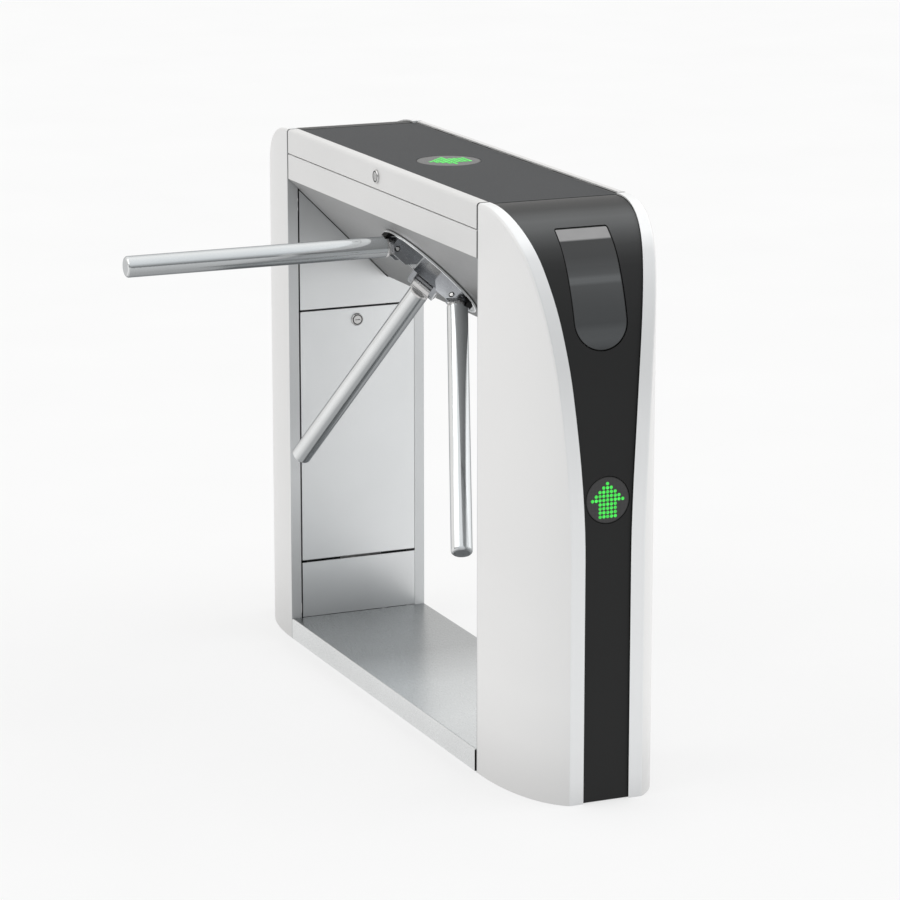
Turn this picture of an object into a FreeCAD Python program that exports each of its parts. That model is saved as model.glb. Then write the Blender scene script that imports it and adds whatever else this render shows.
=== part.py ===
import FreeCAD, Part
import math
import os
import Sketcher
from FreeCAD import Placement, Rotation, Vector

# Box-type tripod turnstile. Frame: +X along the body, -Y towards the arms, +Z up,
# origin on the floor under the middle of the body. Millimetres.

doc = FreeCAD.newDocument("tripod_turnstile")
sheet = doc.addObject("Spreadsheet::Sheet", "dims")


class Q:
    """A size and the cell expression it comes from."""

    def __init__(self, v, e):
        self.v = float(v)
        self.e = e

    @staticmethod
    def of(o):
        return o if isinstance(o, Q) else Q(o, "(%.6f)" % o)

    def __add__(self, o):
        o = Q.of(o)
        return Q(self.v + o.v, "(%s + %s)" % (self.e, o.e))

    def __radd__(self, o):
        return Q.of(o) + self

    def __sub__(self, o):
        o = Q.of(o)
        return Q(self.v - o.v, "(%s - %s)" % (self.e, o.e))

    def __rsub__(self, o):
        return Q.of(o) - self

    def __mul__(self, o):
        o = Q.of(o)
        return Q(self.v * o.v, "(%s * %s)" % (self.e, o.e))

    def __rmul__(self, o):
        return Q.of(o) * self

    def __truediv__(self, o):
        o = Q.of(o)
        return Q(self.v / o.v, "(%s / %s)" % (self.e, o.e))

    def __neg__(self):
        return Q(-self.v, "(0 - %s)" % self.e)


def n(q):
    return q.v if isinstance(q, Q) else float(q)


rows = [0]


def dim(alias, value):
    rows[0] += 1
    sheet.set("A%d" % rows[0], alias)
    sheet.set("B%d" % rows[0], str(value))
    sheet.setAlias("B%d" % rows[0], alias)
    return Q(value, "dims." + alias)


# ---- driving dimensions -------------------------------------------------------------------
half_w = dim("half_width", 140)
top_z = dim("top_height", 1002)
seam = dim("seam_x", 445)  # pedestal starts here, the passage is twice this
strip = dim("edge_strip", 25)  # pale edge along the dark band, measured across the body
strip_top = dim("edge_strip_top", 21.5)  # the same edge at the seam and on the lid
lip = dim("return_lip", 20)  # cheek return at the passage
skin = dim("skin", 2)
cheek_t = dim("cheek_skin", 2.5)
drop = dim("band_drop", 3)  # dark band below the cheek edge
band_t = dim("band_thick", 3)
edge_r = dim("edge_round", 6)
plinth = dim("plinth_height", 40)
plan_a = dim("plan_half_long", 238)  # full ellipse of the pedestal's plan
plan_b = dim("plan_half_short", 113)
turn_x = dim("profile_start", 458)  # end profile: four tangent arcs
arc_one = dim("arc_one", 160.4)
arc_two = dim("arc_two", 415.6)
arc_three = dim("arc_three", 871.0)
arc_four = dim("arc_four", 2782.6)
beam_low = dim("beam_bottom", 704)
front_low = dim("front_bottom", 908)
lid_split = dim("lid_split", 955)
wall = dim("beam_wall", 2.5)
hub_r = dim("hub_radius", 110)
pin_v = dim("pin_radius_pos", 89.8)  # arm pin, from the hub axis
pin_w = dim("pin_height_pos", 20.5)  # arm pin, above the slanted face
pin_r = dim("pin_half_dia", 4)
arm_r = dim("arm_half_dia", 19)
arm_wall = dim("arm_wall", 1.5)
arm_root = dim("arm_root", 10)  # pin to collar
arm_reach = dim("arm_reach", 502)  # pin to tip
fork = dim("fork_inside", 19.8)  # half gap between bracket cheeks
fork_t = dim("fork_thick", 8.7)
shaft_r = dim("shaft_half_dia", 12.5)
bear_r = dim("bearing_half_dia", 26)
bear_w = dim("bearing_width", 15)
ball_r = dim("ball_half_dia", 3.98)
ball_c = dim("ball_circle", 19.5)
gear_m = dim("gear_module", 2)
gear_n = dim("gear_teeth", 48)
pinion_n = dim("pinion_teeth", 16)
gear_t = dim("gear_width", 12)
bolt_r = dim("lock_bolt_half_dia", 5)
bolt_c = dim("lock_bolt_circle", 57)
lock_r = dim("key_lock_half_dia", 11)
plug_r = dim("key_plug_half_dia", 7)
door_z = dim("door_lock_height", 624)
lidlock_z = dim("lid_lock_height", 979.5)
lens_r = dim("end_lens_half_dia", 39.6)
lens_z = dim("end_lens_height", 526.5)
toplens_r = dim("top_lens_half_dia", 57.5)
win_half = dim("window_half", 48)
win_top = dim("window_top", 968)
win_low = dim("window_bottom", 777)
anchor_x = dim("anchor_pitch_half_x", 540)
anchor_y = dim("anchor_pitch_half_y", 75)
anchor_r = dim("anchor_hole_half_dia", 7)
foot_t = dim("foot_thick", 6)
doc.recompute()

PARTS = {}


def keep(label, obj):
    obj.Label = label
    PARTS[label] = obj
    return obj


# ---- small builders -----------------------------------------------------------------------
def put(obj, x=0, y=0, z=0, rot=None):
    obj.Placement = Placement(Vector(n(x), n(y), n(z)), rot or Rotation())
    for axis, q in (("x", x), ("y", y), ("z", z)):
        if isinstance(q, Q):
            obj.setExpression("Placement.Base." + axis, q.e)
    return obj


def size(obj, **props):
    for name, q in props.items():
        setattr(obj, name, n(q))
        if isinstance(q, Q):
            obj.setExpression(name, q.e)
    return obj


def box(x, y, z):
    b = doc.addObject("Part::Box", "block")
    size(b, Length=x[1] - x[0], Width=y[1] - y[0], Height=z[1] - z[0])
    return put(b, x[0], y[0], z[0])


TURN = {
    "Z": Rotation(),
    "X": Rotation(Vector(0, 1, 0), 90),
    "Y": Rotation(Vector(1, 0, 0), -90),
}


def cyl(r, span, x=0, y=0, z=0, axis="Z"):
    """Cylinder along an axis; span is its start and end on that axis."""
    c = doc.addObject("Part::Cylinder", "round")
    size(c, Radius=r, Height=span[1] - span[0])
    at = {"Z": (x, y, span[0]), "X": (span[0], y, z), "Y": (x, span[0], z)}[axis]
    return put(c, at[0], at[1], at[2], TURN[axis])


def fuse(*objs):
    f = doc.addObject("Part::MultiFuse", "joined")
    f.Shapes = list(objs)
    return f


def cut(base, *tools):
    c = doc.addObject("Part::Cut", "cut")
    c.Base = base
    c.Tool = tools[0] if len(tools) == 1 else fuse(*tools)
    return c


def group(*objs):
    g = doc.addObject("Part::Compound", "set")
    g.Links = list(objs)
    return g


def mirror(obj, normal=(1, 0, 0)):
    m = doc.addObject("Part::Mirroring", "mirrored")
    m.Source = obj
    m.Base = Vector(0, 0, 0)
    m.Normal = Vector(*normal)
    return m


def body(label):
    return doc.addObject("PartDesign::Body", label)


def sketch_on(b, role, name="profile"):
    s = b.newObject("Sketcher::SketchObject", name)
    plane = [f for f in b.Origin.OriginFeatures if f.Role == role][0]
    s.AttachmentSupport = [(plane, "")]
    s.MapMode = "FlatFace"
    return s


def hold(s, geo, pos, x, y):
    """Fixes one point of a sketch at x, y."""
    for kind, line, q in (("DistanceX", -2, x), ("DistanceY", -1, y)):
        if not isinstance(q, Q) and abs(q) < 1e-9:
            s.addConstraint(Sketcher.Constraint("PointOnObject", geo, pos, line))
            continue
        c = s.addConstraint(Sketcher.Constraint(kind, -1, 1, geo, pos, n(q)))
        if isinstance(q, Q):
            s.setExpression("Constraints[%d]" % c, q.e)


def polygon(s, pts):
    first = s.GeometryCount
    k = len(pts)
    for i in range(k):
        a, b = pts[i], pts[(i + 1) % k]
        s.addGeometry(
            Part.LineSegment(
                Vector(n(a[0]), n(a[1]), 0), Vector(n(b[0]), n(b[1]), 0)
            ),
            False,
        )
    for i in range(k):
        s.addConstraint(
            Sketcher.Constraint("Coincident", first + i, 2, first + (i + 1) % k, 1)
        )
    for i, (x, y) in enumerate(pts):
        hold(s, first + i, 1, x, y)


def circle(s, x, y, r):
    g = s.addGeometry(
        Part.Circle(Vector(n(x), n(y), 0), Vector(0, 0, 1), n(r)), False
    )
    hold(s, g, 3, x, y)
    c = s.addConstraint(Sketcher.Constraint("Radius", g, n(r)))
    if isinstance(r, Q):
        s.setExpression("Constraints[%d]" % c, r.e)


def pad(label, role, pts, length, at=(0, 0, 0), holes=(), disc=None):
    """Plate: outline (polygon or disc) with round holes, padded off its plane."""
    b = body(label)
    s = sketch_on(b, role)
    if disc is not None:
        circle(s, 0, 0, disc)
    else:
        polygon(s, pts)
    for h in holes:
        circle(s, *h)
    p = b.newObject("PartDesign::Pad", "Pad")
    p.Profile = s
    size(p, Length=length)
    put(b, *at)
    return b


def turned(label, pts):
    """Turned piece: outline of radius and height turned about the body's Z."""
    b = body(label)
    s = sketch_on(b, "XZ_Plane")
    polygon(s, pts)
    r = b.newObject("PartDesign::Revolution", "Turn")
    r.Profile = s
    r.ReferenceAxis = (s, ["V_Axis"])
    r.Angle = 360
    return b


def rounded(b, r, test, kind="PartDesign::Fillet"):
    """Rounds the edges of a body whose two ends pass the test."""
    doc.recompute()
    tip = b.Tip
    names = [
        "Edge%d" % (i + 1)
        for i, e in enumerate(tip.Shape.Edges)
        if all(test(v.Point) for v in e.Vertexes)
    ]
    f = b.newObject(kind, "Edges")
    f.Base = (tip, names)
    if kind.endswith("Fillet"):
        size(f, Radius=r)
    else:
        size(f, Size=r)
    return b


def near(y, z, tol=0.01):
    return lambda p: abs(p.y - n(y)) < tol and abs(p.z - n(z)) < tol


# ---- pedestal: curved shells --------------------------------------------------------------
# Plan: straight to the seam, then a full ellipse. Side view: level top, then four tangent
# arcs down to an upright end. The cheek is the outer skin with an edge strip along the
# profile; the dark band fills the space between the strips, a little lower.
FULL = 2.2  # exponent of the plan curve, 2 would be a plain ellipse
CY = n(half_w) - n(plan_b)
BREAKS = [math.radians(d) for d in (90, 27, 13, 6, 0)]


def plan_point(deg, inset):
    """Point of the plan curve, moved inwards square to it."""
    c = abs(math.cos(math.radians(deg))) ** (2 / FULL)
    s_ = abs(math.sin(math.radians(deg))) ** (2 / FULL)
    a, b = n(plan_a), n(plan_b)
    gx, gy = c ** (FULL - 1) / a, s_ ** (FULL - 1) / b
    k = math.hypot(gx, gy)
    return Vector(
        n(seam) + a * c - inset * gx / k, CY + b * s_ - inset * gy / k, 0
    )


def plan_curve(inset, sign=1, last=8.0, count=19, across=(0.0, 0.0)):
    """Plan curve moved in by inset, then straight across the body by across (seam, end)."""
    pts = []
    for i in range(count):
        deg = 90 + (last - 90) * i / (count - 1.0)
        t = min(1.0, (90 - deg) / 50.0)
        move = across[0] + (across[1] - across[0]) * t * t * (3 - 2 * t)
        p = plan_point(deg, inset)
        pts.append(Vector(p.x, sign * (p.y - move), 0))
    c = Part.BSplineCurve()
    c.interpolate(pts)
    return c.toShape(), pts[0], pts[-1]


def ring_prism(outer, inner, z0, z1, x0=None):
    """Slab on the +Y side, from an inset of the plan curve to the strip's inner edge."""
    ce, a0, a1 = plan_curve(outer)
    ci, b0, b1 = plan_curve(0, across=(n(strip_top) + inner, n(strip) + inner))
    w = Part.Wire(
        [ce, Part.makeLine(a1, b1), ci.reversed(), Part.makeLine(b0, a0)]
    )
    s = Part.Face(w).extrude(Vector(0, 0, z1 - z0))
    s.translate(Vector(0, 0, z0))
    if x0 is not None:
        s = s.cut(Part.makeBox(x0 - 300, 400, 1200, Vector(300, -200, -50)))
    return s


def inside_prism(inset, z0, z1, x0):
    """Everything between the inner edges of the strips of the two sides."""
    move = (n(strip_top) + inset, n(strip) + inset)
    cp, p0, p1 = plan_curve(0, across=move)
    cm, m0, m1 = plan_curve(0, -1, across=move)
    w = Part.Wire(
        [cp, Part.makeLine(p1, m1), cm.reversed(), Part.makeLine(m0, p0)]
    )
    s = Part.Face(w).extrude(Vector(0, 0, z1 - z0))
    s.translate(Vector(0, 0, z0))
    return s.cut(Part.makeBox(x0 - 300, 400, 1200, Vector(300, -200, -50)))


def side_prism(d):
    """Everything under the end profile moved outwards by d from the dark band's face."""
    zt = n(top_z) - n(drop) + d
    radii = [n(r) + d for r in (arc_one, arc_two, arc_three, arc_four)]
    x, z = n(turn_x), zt
    edges = []

    def at(px, pz):
        return Vector(px, -200, pz)

    edges.append(Part.makeLine(at(400, -20), at(400, zt)))
    edges.append(Part.makeLine(at(400, zt), at(x, z)))
    for r, t0, t1 in zip(radii, BREAKS[:-1], BREAKS[1:]):
        cx, cz = x - r * math.cos(t0), z - r * math.sin(t0)
        tm = (t0 + t1) / 2
        m_ = at(cx + r * math.cos(tm), cz + r * math.sin(tm))
        e_ = at(cx + r * math.cos(t1), cz + r * math.sin(t1))
        edges.append(Part.Arc(at(x, z), m_, e_).toShape())
        x, z = e_.x, e_.z
    edges.append(Part.makeLine(at(x, z), at(x, -20)))
    edges.append(Part.makeLine(at(x, -20), at(400, -20)))
    return Part.Face(Part.Wire(edges)).extrude(Vector(0, 400, 0))


def round_crest(shape, r):
    """Rounds the long edge where the outer skin meets the end profile."""
    picked = []
    for e in shape.Edges:
        if e.Length < 8:
            continue
        ok = True
        for t in (0.1, 0.5, 0.9):
            p = e.valueAt(
                e.FirstParameter + t * (e.LastParameter - e.FirstParameter)
            )
            # the point must lie on the outer skin and on the profile face
            best = min(
                math.hypot(p.x - q.x, p.y - q.y)
                for q in (plan_point(90 - i * 0.25, 0) for i in range(337))
            )
            if best > 0.6 or abs(profile_gap(p, n(drop))) > 0.05:
                ok = False
        if ok:
            picked.append(e)
    return shape.makeFillet(r, picked)


def profile_gap(p, d):
    """Distance of a point from the end profile moved outwards by d."""
    zt = n(top_z) - n(drop) + d
    x, z = n(turn_x), zt
    best = abs(p.z - zt) if p.x <= x else 1e9
    for r0, t0, t1 in zip(
        (arc_one, arc_two, arc_three, arc_four), BREAKS[:-1], BREAKS[1:]
    ):
        r = n(r0) + d
        cx, cz = x - r * math.cos(t0), z - r * math.sin(t0)
        t = math.atan2(p.z - cz, p.x - cx)
        if t1 - 1e-6 <= t <= t0 + 1e-6:
            best = min(best, abs(math.hypot(p.x - cx, p.z - cz) - r))
        x, z = cx + r * math.cos(t1), cz + r * math.sin(t1)
    if p.z <= z:
        best = min(best, abs(p.x - x))
    return best


def shaped(label, shape):
    f = doc.addObject("Part::Feature", label)
    f.Shape = shape
    f.Placement = Placement()
    return f


big = 1100.0
full = ring_prism(0, 0, 0, big).common(side_prism(n(drop)))
full = round_crest(full, n(edge_r))
core = ring_prism(
    n(cheek_t), 6, n(cheek_t), big, n(seam) + n(skin)
).common(side_prism(n(drop) - n(cheek_t)))
cheek_shape = full.cut(core)
if cheek_shape.Volume > 0.4 * full.Volume:
    raise RuntimeError("cheek is not hollow")
# the return facing the passage is narrower than the edge strip
cheek_shape = cheek_shape.cut(
    Part.makeBox(4, 60, 990, Vector(n(seam) - 1, n(half_w) - n(lip) - 60, -1))
)
cheek_nb = keep("cheek_near_back", shaped("cheek_near_back", cheek_shape))
cheek_nf = keep("cheek_near_front", mirror(cheek_nb, (0, 1, 0)))
keep("cheek_far_back", mirror(cheek_nb))
keep("cheek_far_front", mirror(cheek_nf))


def outline_x(half, z0, z1, grow):
    """Window outline seen along X: straight top with small corners, round bottom."""
    h_, t_, b_ = half + grow, z1 + grow, z0 - grow
    c = 5.0
    zc = b_ + h_
    at = lambda y, z: Vector(400, y, z)
    k = c * (1 - math.sqrt(0.5))
    e = [
        Part.makeLine(at(-h_, zc), at(-h_, t_ - c)),
        Part.Arc(at(-h_, t_ - c), at(-h_ + k, t_ - k), at(-h_ + c, t_)).toShape(),
        Part.makeLine(at(-h_ + c, t_), at(h_ - c, t_)),
        Part.Arc(at(h_ - c, t_), at(h_ - k, t_ - k), at(h_, t_ - c)).toShape(),
        Part.makeLine(at(h_, t_ - c), at(h_, zc)),
        Part.Arc(at(h_, zc), at(0, b_), at(-h_, zc)).toShape(),
    ]
    return Part.Face(Part.Wire(e)).extrude(Vector(400, 0, 0))


x_axis = Vector(1, 0, 0)
strip_in = inside_prism(1.0, 1.0, big, n(seam) + 0.6)
band = strip_in.common(side_prism(0)).cut(side_prism(-n(band_t)))
band = band.cut(outline_x(n(win_half), n(win_low), n(win_top), 1.6))
band = band.cut(
    Part.makeCylinder(n(lens_r) + 1.2, 300, Vector(500, 0, n(lens_z)), x_axis)
)
band_n = keep("end_band_near", shaped("end_band_near", band))
keep("end_band_far", mirror(band_n))
glass = side_prism(-0.8).cut(side_prism(-4.3))
glass = glass.common(outline_x(n(win_half), n(win_low), n(win_top), 0))
win_n = shaped("window", glass)
keep("reader_windows", group(win_n, mirror(win_n)))
lens = side_prism(-0.4).cut(side_prism(-3.4))
lens = lens.common(
    Part.makeCylinder(n(lens_r), 300, Vector(500, 0, n(lens_z)), x_axis)
)
lens_n = shaped("lens", lens)
keep("end_indicator_lenses", group(lens_n, mirror(lens_n)))

# indicator board: round board with a dome for every dot of the arrow
ARROW = [(1, 0), (3, 1), (5, 2), (7, 3), (9, 4)] + [(5, k) for k in range(5, 9)]
DOT = 7.0
board = [cyl(lens_r - 3, (648, 649.6), 0, 0, lens_z, "X")]
for count, line in ARROW:
    for i in range(count):
        board.append(
            cyl(
                2.4,
                (649.6, 654),
                0,
                (i - (count - 1) / 2.0) * DOT,
                lens_z + (4 - line) * DOT,
                "X",
            )
        )
ib_n = fuse(*board)
keep("indicator_boards", group(ib_n, mirror(ib_n)))

# card reader behind the window
reader = put(
    size(doc.addObject("Part::Box", "reader"), Length=18, Width=60, Height=96),
    562,
    -30,
    814,
    Rotation(Vector(0, 1, 0), -22),
)
keep("card_readers", group(reader, mirror(reader)))

# ---- column frames, floor plates, base ----------------------------------------------------
foot = pad(
    "foot",
    "XY_Plane",
    [(450, -104), (540, -98), (584, -86), (584, 86), (540, 98), (450, 104)],
    foot_t,
    (0, 0, 0),
    [
        (anchor_x, anchor_y, anchor_r),
        (anchor_x, -anchor_y, anchor_r),
        (510, 0, 30),
    ],
)
posts = []
for s_ in (-1, 1):
    y0, y1 = sorted((s_ * 75, s_ * 105))
    posts.append(
        cut(
            box((453, 483), (y0, y1), (foot_t, 960)),
            box((455, 481), (y0 + 2, y1 - 2), (foot_t - 1, 961)),
        )
    )
head = cut(
    box((seam + skin, 453), (-108, 108), (649, 992)),
    box((440, 460), (-70, 70), (640, 960)),
)
tray = box((483, 485), (-105, 105), (220, 560))
col = fuse(foot, posts[0], posts[1], head, tray)
keep("column_frame_near", col)
keep("column_frame_far", mirror(col))
w_, p_ = half_w, plinth
base_l = seam * 2 - 8.4
keep(
    "base_bridge",
    pad(
        "base_bridge",
        "YZ_Plane",
        [
            (-w_, 0),
            (w_, 0),
            (w_, p_),
            (-w_, p_),
        ],
        base_l,
        (0.4 - seam, 0, 0),
    ),
)
bb = PARTS["base_bridge"]
rounded(bb, 3, lambda p: abs(p.z - n(p_)) < 0.01 and abs(abs(p.y) - n(w_)) < 0.01)
s = sketch_on(bb, "YZ_Plane", "hollow")
polygon(
    s,
    [
        (skin - w_, 0),
        (w_ - skin, 0),
        (w_ - skin, p_ - skin),
        (skin - w_, p_ - skin),
    ],
)
pk = bb.newObject("PartDesign::Pocket", "Hollow")
pk.Profile = s
pk.Reversed = True
size(pk, Length=base_l - skin)

# ---- inner faces of the pedestals ---------------------------------------------------------
panel_y = half_w - lip - 3
panel_b = half_w - lip - 0.6
low = box((seam, seam + skin), (-panel_y, panel_b), (plinth + 0.3, 149.5))
keep("inner_panels_lower", group(low, mirror(low)))
up = fuse(
    pad(
        "upper",
        "YZ_Plane",
        [
            (-panel_y, 651),
            (panel_b, 651),
            (panel_b, beam_low - 1.5),
            (63.5, beam_low - 1.5),
            (-panel_y, 766.5 + panel_y),
        ],
        skin,
        (seam, 0, 0),
    ),
    box((seam, 463.2), (-60, 60), (651, 653)),
)
keep("inner_panels_upper", group(up, mirror(up)))
door_y = half_w - lip - 3.2
door_b = half_w - lip - 0.8
door = cut(
    box((seam, 452), (-door_y, door_b), (154, 647)),
    box((seam + skin, 460), (1.5 - door_y, door_b - 1.5), (155.5, 645.5)),
    cyl(lock_r + 0.2, (430, 470), 0, 0, door_z, "X"),
    box((seam - 1, seam + 1.5), (-door_y - 1, door_b + 1), (153, 155.5)),
)
# the door tips about its round lower edge; two tongues hold it behind the panel below
sill = cyl(1.5, (-door_y, door_b), seam + 1.5, 0, 155.5, "Y")
tabs = [
    box((447.5, 449), (y0, y0 + 20), (139, 156)) for y0 in (-70, 50)
]
door = fuse(door, sill, *tabs)
keep("service_door_near", door)
keep("service_door_far", mirror(door))


# ---- key locks ----------------------------------------------------------------------------
# Turned about the local Z: bezel in front (low end), barrel behind; the plug turns in it.
def lock_body(label):
    return turned(
        label,
        [
            (plug_r + 0.05, 0),
            (8.3, 0),
            (8.3, 1.1),
            (9.7, 1.1),
            (9.7, 0),
            (10.9, 0),
            (12.3, 1.4),
            (12.3, 3.6),
            (lock_r, 3.6),
            (lock_r, 22),
            (plug_r + 0.05, 22),
        ],
    )


def lock_plug(label, reach):
    """Plug with a key slot in front and a cam at the back, the cam along local -Y."""
    p = turned(
        label + "_core", [(0, 0.4), (plug_r, 0.4), (plug_r, 22), (5, 22), (5, 28), (0, 28)]
    )
    slot = box((-1, 1), (-5, 5), (-1, 4))
    cam = pad(
        label + "_cam",
        "XY_Plane",
        [(-6.5, 7), (-6.5, 2 - reach), (-4.5, -reach), (4.5, -reach), (6.5, 2 - reach), (6.5, 7)],
        3,
        (0, 0, 22.4),
    )
    return fuse(cut(p, slot), cam)


# lid lock: local Z along +Y, so local -Y hangs down
LID_LOCK = Placement(
    Vector(0, -n(half_w) - 3.6, n(lidlock_z)), Rotation(Vector(1, 0, 0), -90)
)
FLIP = Placement(Vector(0, 0, 0), Rotation(Vector(0, 0, 1), 180))
lb = lock_body("lid_lock_body")
lb.Placement = LID_LOCK
keep("lid_lock_body", lb)
lp = lock_plug("lid_lock_plug", 26)
lp.Placement = LID_LOCK.multiply(FLIP)
keep("lid_lock_plug", lp)
# door lock: local Z along +X, cam along +Y at rest
DOOR_LOCK = Placement(
    Vector(n(seam) - 3.6, 0, n(door_z)), Rotation(Vector(0, 1, 0), 90)
)
db = lock_body("door_lock_body_near")
db.Placement = DOOR_LOCK
keep("door_lock_body_near", db)
keep("door_lock_body_far", mirror(db))
dp = lock_plug("door_lock_plug_near", 34)
dp.Placement = DOOR_LOCK.multiply(FLIP)
keep("door_lock_plug_near", dp)
keep("door_lock_plug_far", mirror(dp))

# ---- beam ---------------------------------------------------------------------------------
# The slanted face lies on y + z = front_bottom - half_width.
diag = front_low - half_w
off = wall * 1.414214
P0 = Vector(0, -34.0, n(diag) + 34.0)
HUB = Placement(P0, Rotation(Vector(1, 0, 0), 135))
rim_y = half_w - strip_top + 6.7
shell = pad(
    "beam",
    "YZ_Plane",
    [
        (16 - half_w, lid_split),
        (-half_w, lid_split),
        (-half_w, front_low),
        (diag - beam_low, beam_low),
        (half_w, beam_low),
        (half_w, top_z),
        (rim_y, top_z),
        (rim_y, top_z - wall),
        (half_w - wall, top_z - wall),
        (half_w - wall, beam_low + wall),
        (diag + off - beam_low - wall, beam_low + wall),
        (wall - half_w, diag + off - wall + half_w),
        (wall - half_w, lid_split - wall),
        (16 - half_w, lid_split - wall),
    ],
    (seam - 3) * 2,
    (3 - seam, 0, 0),
)
rounded(shell, edge_r, near(half_w, top_z))
rounded(shell, edge_r - wall, near(half_w - wall, top_z - wall))
rounded(shell, 2.5, near(-half_w, lid_split))


def end_ring(x0):
    f = 20.0
    outer = [
        (-half_w + 1, front_low + 1),
        (diag - beam_low + 1, beam_low + 1),
        (half_w - 1, beam_low + 1),
        (half_w - 1, 950),
        (-half_w + 1, 950),
    ]
    inner = [
        (f - half_w, diag + 1.4142 * f - f + half_w),
        (diag + 1.4142 * f - beam_low - f, beam_low + f),
        (half_w - f, beam_low + f),
        (half_w - f, 951),
        (f - half_w, 951),
    ]
    return cut(
        pad("flange", "YZ_Plane", outer, wall, (x0, 0, 0)),
        pad("flange_open", "YZ_Plane", inner, 10, (x0 - 3, 0, 0)),
    )


strike = fuse(
    box((12, 36), (-126, -106), (986.5, 988.5)),
    box((34, 36), (-126, -106), (lid_split - wall, 988.5)),
)
HOLES = []
bore = cyl(48, (-8, 8))
HOLES.append(bore)
for i in range(6):
    a = math.radians(30 + 60 * i)
    HOLES.append(cyl(4.3, (-30, 5), 58 * math.cos(a), 58 * math.sin(a)))
hub_holes = fuse(*HOLES)
hub_holes.Placement = HUB
beam = cut(
    fuse(shell, end_ring(3 - seam), end_ring(seam - 3 - wall), strike), hub_holes
)
keep("beam_shell", beam)

# ---- lid ----------------------------------------------------------------------------------
lid_x = seam - 3.2
dark_z = top_z - drop
lid = pad(
    "lid",
    "YZ_Plane",
    [
        (-half_w, lid_split + 2),
        (-half_w, top_z),
        (strip_top - half_w - 0.5, top_z),
        (strip_top - half_w - 0.5, dark_z - band_t),
        (116.9, dark_z - band_t),
        (116.9, dark_z - band_t - skin),
        (strip_top - half_w - 2.5, dark_z - band_t - skin),
        (strip_top - half_w - 2.5, top_z - skin),
        (skin - half_w, top_z - skin),
        (skin - half_w, lid_split + 2),
    ],
    lid_x * 2,
    (-lid_x, 0, 0),
)
rounded(lid, edge_r, near(-half_w, top_z))
rounded(lid, edge_r - skin, near(skin - half_w, top_z - skin))
lid_cut = cut(
    lid,
    cyl(lock_r + 0.2, (-150, -125), 0, 0, lidlock_z, "Y"),
    cyl(toplens_r - 7, (980, 1010)),
)
keep("lid_shell", lid_cut)
keep(
    "lid_top_panel",
    pad(
        "lid_top_panel",
        "XY_Plane",
        [
            (-lid_x, strip_top - half_w + 0.5),
            (lid_x, strip_top - half_w + 0.5),
            (lid_x, 118.6),
            (-lid_x, 118.6),
        ],
        band_t,
        (0, 0, dark_z - band_t),
        [(0, 0, toplens_r + 0.9)],
    ),
)
keep(
    "lid_indicator_lens",
    cyl(toplens_r, (dark_z - band_t, dark_z - 0.2)),
)
keep("lid_indicator_board", cyl(47, (983.4, 985)))

# lid hinge: knuckles of the two leaves alternate along the pin
HY, HZ = 121.6, 996.6
LEN = 882.0
COUNT = 10
step = LEN / COUNT
hole = cyl(1.25, (-LEN, LEN), 0, HY, HZ, "X")
fixed, moving = [], []
for i in range(COUNT):
    x0 = -LEN / 2 + i * step + 0.25
    x1 = x0 + step - 0.5
    k = cyl(2.4, (x0, x1), 0, HY, HZ, "X")
    if i % 2:
        moving += [k, box((x0, x1), (HY - 2.6, HY - 0.6), (992.6, HZ))]
    else:
        fixed += [k, box((x0, x1), (HY + 0.4, HY + 3.8), (996.9, 999.4))]
fixed.append(box((-LEN / 2, LEN / 2), (HY + 2.7, 133), (998.1, 999.4)))
moving.append(box((-LEN / 2, LEN / 2), (HY - 23, HY - 1.2), (992.6, 994)))
keep("lid_hinge_fixed_leaf", cut(fuse(*fixed), hole))
keep("lid_hinge_moving_leaf", cut(fuse(*moving), hole))
keep("lid_hinge_pin", cyl(1.2, (-LEN / 2, LEN / 2), 0, HY, HZ, "X"))


# ---- hub: frame with Z along the hub axis (out of the slanted face), Y up the slope -----
def on_hub(label, obj, deg=0):
    obj.Placement = HUB.multiply(
        Placement(Vector(0, 0, 0), Rotation(Vector(0, 0, 1), deg)).multiply(
            obj.Placement
        )
    )
    return keep(label, obj)


B1 = -27.0  # back of the front bearing
B2 = -100.0  # back of the rear bearing
housing = turned(
    "housing",
    [
        (32, -wall),
        (70, -wall),
        (70, -wall - 8),
        (36, -wall - 8),
        (36, B2),
        (bear_r, B2),
        (bear_r, B2 + bear_w),
        (23, B2 + bear_w),
        (23, B1),
        (bear_r, B1),
        (bear_r, B1 + bear_w),
        (32, B1 + bear_w),
    ],
)
hh = [
    cyl(
        4.3,
        (-30, 5),
        58 * math.cos(math.radians(30 + 60 * i)),
        58 * math.sin(math.radians(30 + 60 * i)),
    )
    for i in range(6)
]
on_hub("bearing_housing", cut(housing, *hh))
bolts = []
for i in range(6):
    a = math.radians(30 + 60 * i)
    bx, by = 58 * math.cos(a), 58 * math.sin(a)
    bolts.append(
        fuse(
            cyl(4, (-wall - 8, -0.3), bx, by),
            cyl(6.5, (-wall - 13.5, -wall - 8), bx, by),
        )
    )
on_hub("housing_bolts", group(*bolts))


def torus(z):
    t = doc.addObject("Part::Torus", "race")
    size(t, Radius1=ball_c, Radius2=ball_r + 0.05)
    return put(t, 0, 0, z)


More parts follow.
